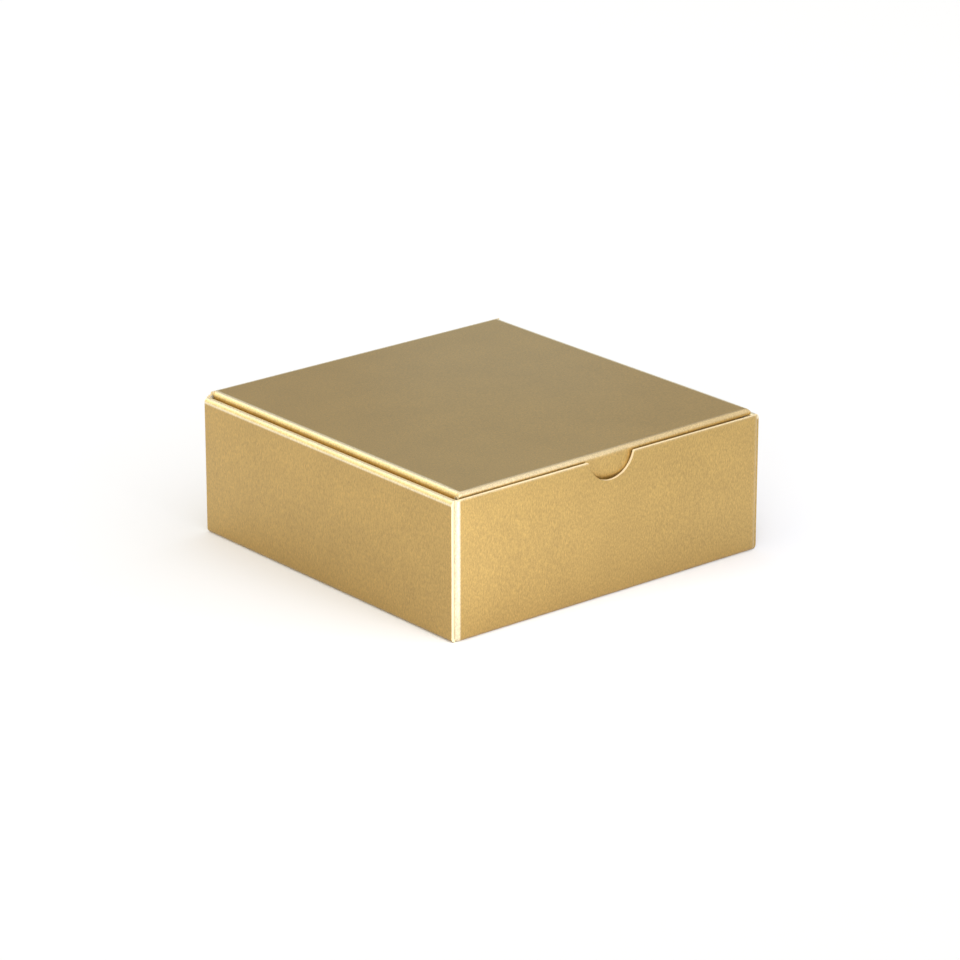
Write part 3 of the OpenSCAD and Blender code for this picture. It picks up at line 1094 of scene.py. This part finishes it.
def photo_camera(sizes):
    """The camera, where the photograph's camera was fitted to be."""
    camera = bpy.data.cameras.new("photo_camera")
    camera.sensor_width = SENSOR_WIDTH
    camera.lens = sizes.focal_length
    camera.clip_start = CLIP_NEAR
    camera.clip_end = CLIP_FAR
    holder = bpy.data.objects.new("photo_camera", camera)
    az, pitch, roll = sizes.azimuth, sizes.pitch, sizes.roll
    ahead = Vector((math.sin(az) * math.cos(pitch), math.cos(az) * math.cos(pitch), -math.sin(pitch)))
    right = Vector((math.cos(az), -math.sin(az), 0))
    up = right.cross(ahead)
    right, up = (right * math.cos(roll) + up * math.sin(roll),
                 up * math.cos(roll) - right * math.sin(roll))
    turned = Matrix((right, up, -ahead)).transposed().to_4x4()
    holder.matrix_world = Matrix.Translation(CAMERA_PLACE) @ turned
    return holder


class FAVORBOX_OT_stage(bpy.types.Operator):
    """White tent, pale floor, soft lights and camera"""

    bl_idname = "favorbox.stage"
    bl_label = "Stage"

    def execute(self, context):
        scene = context.scene
        sizes = studio()
        scene.view_settings.view_transform = "Standard"
        scene.world = tent_world(sizes)

        area_light("tent_roof", *TENT_ROOF, sizes.top_light)
        area_light("corner_light", *CORNER_LIGHT, sizes.corner_light)
        area_light("back_glow", *BACK_GLOW, sizes.back_glow, BACK_GLOW_COLOUR)
        area_light("left_panel", *LEFT_PANEL, sizes.left_panel)

        mesh = bpy.data.meshes.new("tent_floor")
        corners = [(x * FLOOR_HALF, y * FLOOR_HALF, 0) for x, y in ((-1, -1), (1, -1), (1, 1), (-1, 1))]
        mesh.from_pydata(corners, [], [(0, 1, 2, 3)])
        floor = bpy.data.objects.new("tent_floor", mesh)
        floor.location.z = -FLOOR_DROP
        scene.collection.objects.link(floor)
        mesh.materials.append(floor_material())

        camera = photo_camera(sizes)
        scene.collection.objects.link(camera)
        scene.camera = camera
        return {"FINISHED"}


class FAVORBOX_PT_panel(bpy.types.Panel):
    """Settings and makers of the favor box"""

    bl_idname = "FAVORBOX_PT_panel"
    bl_label = "Favor box"
    bl_space_type = "VIEW_3D"
    bl_region_type = "UI"
    bl_category = "Favor box"

    def draw(self, context):
        layout = self.layout
        for group in (board_sizes(), colours(), studio()):
            box = layout.box()
            for name in group.__annotations__:
                box.prop(group, name)
        for operator in OPERATORS:
            layout.operator(operator.bl_idname)


OPERATORS = (
    FAVORBOX_OT_stage, FAVORBOX_OT_bottom, FAVORBOX_OT_front_and_back, FAVORBOX_OT_sides,
    FAVORBOX_OT_lid, FAVORBOX_OT_tuck_flap, FAVORBOX_OT_ears,
)
CLASSES = (BoardSizes, BoardColours, StudioSizes) + OPERATORS + (FAVORBOX_PT_panel,)


def register():
    for cls in CLASSES:
        bpy.utils.register_class(cls)
    bpy.types.Scene.favor_box_board = PointerProperty(type=BoardSizes)
    bpy.types.Scene.favor_box_colours = PointerProperty(type=BoardColours)
    bpy.types.Scene.favor_box_studio = PointerProperty(type=StudioSizes)


def unregister():
    del bpy.types.Scene.favor_box_studio
    del bpy.types.Scene.favor_box_colours
    del bpy.types.Scene.favor_box_board
    for cls in reversed(CLASSES):
        bpy.utils.unregister_class(cls)


def main():
    register()
    bpy.ops.favorbox.stage()
    bpy.ops.favorbox.bottom()
    bpy.ops.favorbox.front_and_back()
    bpy.ops.favorbox.sides()
    bpy.ops.favorbox.lid()
    bpy.ops.favorbox.tuck_flap()
    bpy.ops.favorbox.ears()


if __name__ == "__main__":
    main()
